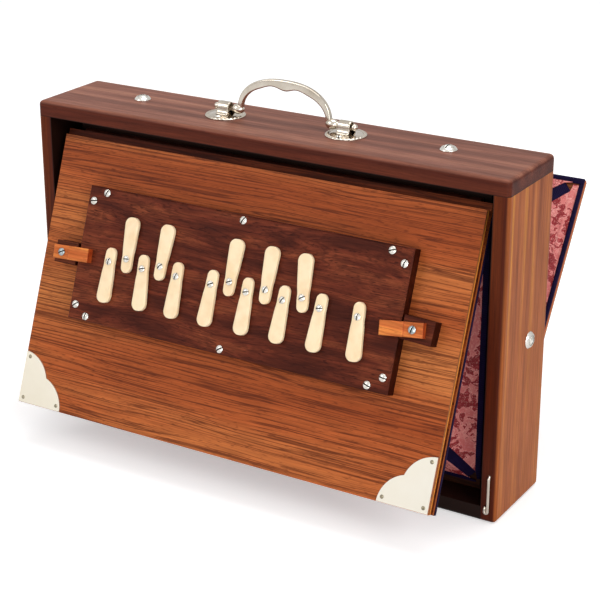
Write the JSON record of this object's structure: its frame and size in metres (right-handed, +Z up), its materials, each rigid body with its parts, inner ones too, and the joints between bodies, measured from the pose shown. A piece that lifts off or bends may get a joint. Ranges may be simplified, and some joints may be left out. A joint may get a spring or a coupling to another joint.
{
  "type": "shruti box",
  "caption": "Flat wooden case with a front board hinged at its top and a back board hinged at its bottom, each on a wedge bellows, with turning stops, inner reeds and a folding handle.",
  "frame": {"origin": "centre of the case's bottom face, on the plane it stands on", "axes": "+X to the right as one faces the stops, -Y out of the front, +Z up"},
  "size_m": [0.4074, 0.2563, 0.2919],
  "materials": {
    "case_wood": "oiled teak, satin",
    "panel_wood": "streaked teak, satin varnish",
    "plate_wood": "rosewood, satin",
    "button_wood": "reddish wood, satin varnish",
    "ivory": "ivory-coloured resin, polished",
    "nickel": "bright nickel plate",
    "steel": "bright steel",
    "brass": "milled brass",
    "leather": "undyed goat leather",
    "paper": "marbled paper on card"
  },
  "bodies": {
    "case": {"case_top": "case_wood", "case_bottom": "case_wood", "case_side_left": "case_wood", "case_side_right": "case_wood", "centre_board": "case_wood", "front_frame_rails": "case_wood", "rear_frame_rails": "case_wood", "front_hinge_roll": "leather", "back_hinge_roll": "leather", "case_screws": "steel", "case_cup_washers": "steel", "handle_bases": "nickel", "handle_screws": "steel"},
    "front_board": {"front_panel": "panel_wood", "front_inner_board": "case_wood", "stop_plate": "plate_wood", "stop_plate_screws": "steel", "stop_pivot_screws": "steel", "turn_button_screws": "steel", "turn_block_left": "plate_wood", "turn_block_right": "plate_wood", "corner_plate_left": "nickel", "corner_plate_right": "nickel", "corner_plate_nails": "steel", "reed_plates": "brass", "reed_tongues": "brass", "reed_rivets": "steel"},
    "back_board": {"back_panel": "panel_wood", "back_inner_board": "case_wood"},
    "bail": {"handle_bail": "nickel"},
    "hook": {"front_hook": "steel"},
    "transfer_flap": {"transfer_valve_flap": "leather"},
    "intake_flap": {"intake_valve_flap": "leather"},
    "stop_01": {"stop_01": "ivory"},
    "stop_02": {"stop_02": "ivory"},
    "stop_03": {"stop_03": "ivory"},
    "stop_04": {"stop_04": "ivory"},
    "stop_05": {"stop_05": "ivory"},
    "stop_06": {"stop_06": "ivory"},
    "stop_07": {"stop_07": "ivory"},
    "stop_08": {"stop_08": "ivory"},
    "stop_09": {"stop_09": "ivory"},
    "stop_10": {"stop_10": "ivory"},
    "stop_11": {"stop_11": "ivory"},
    "stop_12": {"stop_12": "ivory"},
    "stop_13": {"stop_13": "ivory"},
    "turn_button_left": {"turn_button_left": "button_wood"},
    "turn_button_right": {"turn_button_right": "button_wood"},
    "front_rib_left_case": {"front_rib_left_case": "paper"},
    "front_rib_right_case": {"front_rib_right_case": "paper"},
    "front_rib_end_case": {"front_rib_end_case": "paper"},
    "front_rib_left_board": {"front_rib_left_board": "paper"},
    "front_rib_right_board": {"front_rib_right_board": "paper"},
    "front_rib_end_board": {"front_rib_end_board": "paper"},
    "back_rib_left_case": {"back_rib_left_case": "paper"},
    "back_rib_right_case": {"back_rib_right_case": "paper"},
    "back_rib_end_case": {"back_rib_end_case": "paper"},
    "back_rib_left_board": {"back_rib_left_board": "paper"},
    "back_rib_right_board": {"back_rib_right_board": "paper"},
    "back_rib_end_board": {"back_rib_end_board": "paper"}
  },
  "joints": [
    {"name": "front_board_hinge", "type": "hinge", "parent": "case", "child": "front_board", "pos_m": [0, -0.0161, 0.2324], "axis": [1, 0, 0], "range_deg": [0, 21], "stiffness_Nm_per_rad": 0.4, "springref_deg": -57.3},
    {"name": "back_board_hinge", "type": "hinge", "parent": "case", "child": "back_board", "pos_m": [0, 0.0237, 0.025], "axis": [1, 0, 0], "range_deg": [0, 32.5], "stiffness_Nm_per_rad": 0.2, "springref_deg": -34.38},
    {"name": "stop_01_turn", "type": "hinge", "parent": "front_board", "child": "stop_01", "pos_m": [-0.10945, -0.07014, 0.15246], "axis": [0, -0.9336, 0.3584], "range_deg": [-25, 25]},
    {"name": "stop_02_turn", "type": "hinge", "parent": "front_board", "child": "stop_02", "pos_m": [-0.07875, -0.07014, 0.15246], "axis": [0, -0.9336, 0.3584], "range_deg": [-25, 25]},
    {"name": "stop_03_turn", "type": "hinge", "parent": "front_board", "child": "stop_03", "pos_m": [-0.04805, -0.07014, 0.15246], "axis": [0, -0.9336, 0.3584], "range_deg": [-25, 25]},
    {"name": "stop_04_turn", "type": "hinge", "parent": "front_board", "child": "stop_04", "pos_m": [-0.01735, -0.07014, 0.15246], "axis": [0, -0.9336, 0.3584], "range_deg": [-25, 25]},
    {"name": "stop_05_turn", "type": "hinge", "parent": "front_board", "child": "stop_05", "pos_m": [0.01335, -0.07014, 0.15246], "axis": [0, -0.9336, 0.3584], "range_deg": [-25, 25]},
    {"name": "stop_06_turn", "type": "hinge", "parent": "front_board", "child": "stop_06", "pos_m": [0.04405, -0.07014, 0.15246], "axis": [0, -0.9336, 0.3584], "range_deg": [-25, 25]},
    {"name": "stop_07_turn", "type": "hinge", "parent": "front_board", "child": "stop_07", "pos_m": [0.07475, -0.07014, 0.15246], "axis": [0, -0.9336, 0.3584], "range_deg": [-25, 25]},
    {"name": "stop_08_turn", "type": "hinge", "parent": "front_board", "child": "stop_08", "pos_m": [0.10545, -0.07014, 0.15246], "axis": [0, -0.9336, 0.3584], "range_deg": [-25, 25]},
    {"name": "stop_09_turn", "type": "hinge", "parent": "front_board", "child": "stop_09", "pos_m": [-0.0941, -0.06849, 0.15675], "axis": [0, 0.9336, -0.3584], "range_deg": [-25, 25]},
    {"name": "stop_10_turn", "type": "hinge", "parent": "front_board", "child": "stop_10", "pos_m": [-0.0634, -0.06849, 0.15675], "axis": [0, 0.9336, -0.3584], "range_deg": [-25, 25]},
    {"name": "stop_11_turn", "type": "hinge", "parent": "front_board", "child": "stop_11", "pos_m": [-0.002, -0.06849, 0.15675], "axis": [0, 0.9336, -0.3584], "range_deg": [-25, 25]},
    {"name": "stop_12_turn", "type": "hinge", "parent": "front_board", "child": "stop_12", "pos_m": [0.0287, -0.06849, 0.15675], "axis": [0, 0.9336, -0.3584], "range_deg": [-25, 25]},
    {"name": "stop_13_turn", "type": "hinge", "parent": "front_board", "child": "stop_13", "pos_m": [0.0594, -0.06849, 0.15675], "axis": [0, 0.9336, -0.3584], "range_deg": [-25, 25]},
    {"name": "turn_button_left_turn", "type": "hinge", "parent": "front_board", "child": "turn_button_left", "pos_m": [-0.153, -0.07032, 0.15199], "axis": [0, 0.9336, -0.3584], "range_deg": [-90, 90]},
    {"name": "turn_button_right_turn", "type": "hinge", "parent": "front_board", "child": "turn_button_right", "pos_m": [0.149, -0.07032, 0.15199], "axis": [0, 0.9336, -0.3584], "range_deg": [-90, 90]},
    {"name": "handle_bail_swing", "type": "hinge", "parent": "case", "child": "bail", "pos_m": [0, 0.0018, 0.2644], "axis": [1, 0, 0], "range_deg": [-88, 88]},
    {"name": "front_hook_swing", "type": "hinge", "parent": "case", "child": "hook", "pos_m": [0.1943, -0.0375, 0.0375], "axis": [0, 1, 0], "range_deg": [-8, 100]},
    {"name": "transfer_flap_lift", "type": "hinge", "parent": "case", "child": "transfer_flap", "pos_m": [0, 0.00125, 0.14], "axis": [-1, 0, 0], "range_deg": [0, 12], "stiffness_Nm_per_rad": 0.002},
    {"name": "intake_flap_lift", "type": "hinge", "parent": "back_board", "child": "intake_flap", "pos_m": [0, 0.08493, 0.11879], "axis": [-1, 0, 0], "range_deg": [0, 12], "stiffness_Nm_per_rad": 0.002},
    {"name": "front_rib_left_case_fold", "type": "hinge", "parent": "case", "child": "front_rib_left_case", "pos_m": [-0.174, -0.01415, 0.2324], "axis": [0, 0, 1], "range_deg": [0, 29.5]},
    {"name": "front_rib_right_case_fold", "type": "hinge", "parent": "case", "child": "front_rib_right_case", "pos_m": [0.174, -0.01415, 0.2324], "axis": [0, 0, -1], "range_deg": [0, 29.5]},
    {"name": "front_rib_end_case_fold", "type": "hinge", "parent": "case", "child": "front_rib_end_case", "pos_m": [0, -0.01415, 0.0194], "axis": [-1, 0, 0], "range_deg": [0, 30.4]},
    {"name": "front_rib_left_board_fold", "type": "hinge", "parent": "front_board", "child": "front_rib_left_board", "pos_m": [-0.174, -0.01792, 0.2331], "axis": [0, -0.3584, -0.9336], "range_deg": [0, 29.5]},
    {"name": "front_rib_right_board_fold", "type": "hinge", "parent": "front_board", "child": "front_rib_right_board", "pos_m": [0.174, -0.01792, 0.2331], "axis": [0, 0.3584, 0.9336], "range_deg": [0, 29.5]},
    {"name": "front_rib_end_board_fold", "type": "hinge", "parent": "front_board", "child": "front_rib_end_board", "pos_m": [0, -0.09425, 0.03425], "axis": [1, 0, 0], "range_deg": [0, 30.4]},
    {"name": "back_rib_left_case_fold", "type": "hinge", "parent": "case", "child": "back_rib_left_case", "pos_m": [-0.174, 0.02175, 0.025], "axis": [0, 0, -1], "range_deg": [0, 26.2]},
    {"name": "back_rib_right_case_fold", "type": "hinge", "parent": "case", "child": "back_rib_right_case", "pos_m": [0.174, 0.02175, 0.025], "axis": [0, 0, 1], "range_deg": [0, 26.2]},
    {"name": "back_rib_end_case_fold", "type": "hinge", "parent": "case", "child": "back_rib_end_case", "pos_m": [0, 0.02175, 0.238], "axis": [-1, 0, 0], "range_deg": [0, 27]},
    {"name": "back_rib_left_board_fold", "type": "hinge", "parent": "back_board", "child": "back_rib_left_board", "pos_m": [-0.174, 0.02534, 0.02395], "axis": [0, 0.5373, 0.8434], "range_deg": [0, 26.2]},
    {"name": "back_rib_right_board_fold", "type": "hinge", "parent": "back_board", "child": "back_rib_right_board", "pos_m": [0.174, 0.02534, 0.02395], "axis": [0, -0.5373, -0.8434], "range_deg": [0, 26.2]},
    {"name": "back_rib_end_board_fold", "type": "hinge", "parent": "back_board", "child": "back_rib_end_board", "pos_m": [0, 0.13979, 0.20359], "axis": [1, 0, 0], "range_deg": [0, 27]}
  ],
  "couplings": [
    {"joint": "front_rib_left_case_fold", "follows": "front_board_hinge", "ratio": 1.4048},
    {"joint": "front_rib_right_case_fold", "follows": "front_board_hinge", "ratio": 1.4048},
    {"joint": "front_rib_end_case_fold", "follows": "front_board_hinge", "ratio": 1.4476},
    {"joint": "front_rib_left_board_fold", "follows": "front_board_hinge", "ratio": 1.4048},
    {"joint": "front_rib_right_board_fold", "follows": "front_board_hinge", "ratio": 1.4048},
    {"joint": "front_rib_end_board_fold", "follows": "front_board_hinge", "ratio": 1.4476},
    {"joint": "back_rib_left_case_fold", "follows": "back_board_hinge", "ratio": 0.80615},
    {"joint": "back_rib_right_case_fold", "follows": "back_board_hinge", "ratio": 0.80615},
    {"joint": "back_rib_end_case_fold", "follows": "back_board_hinge", "ratio": 0.83077},
    {"joint": "back_rib_left_board_fold", "follows": "back_board_hinge", "ratio": 0.80615},
    {"joint": "back_rib_right_board_fold", "follows": "back_board_hinge", "ratio": 0.80615},
    {"joint": "back_rib_end_board_fold", "follows": "back_board_hinge", "ratio": 0.83077}
  ]
}
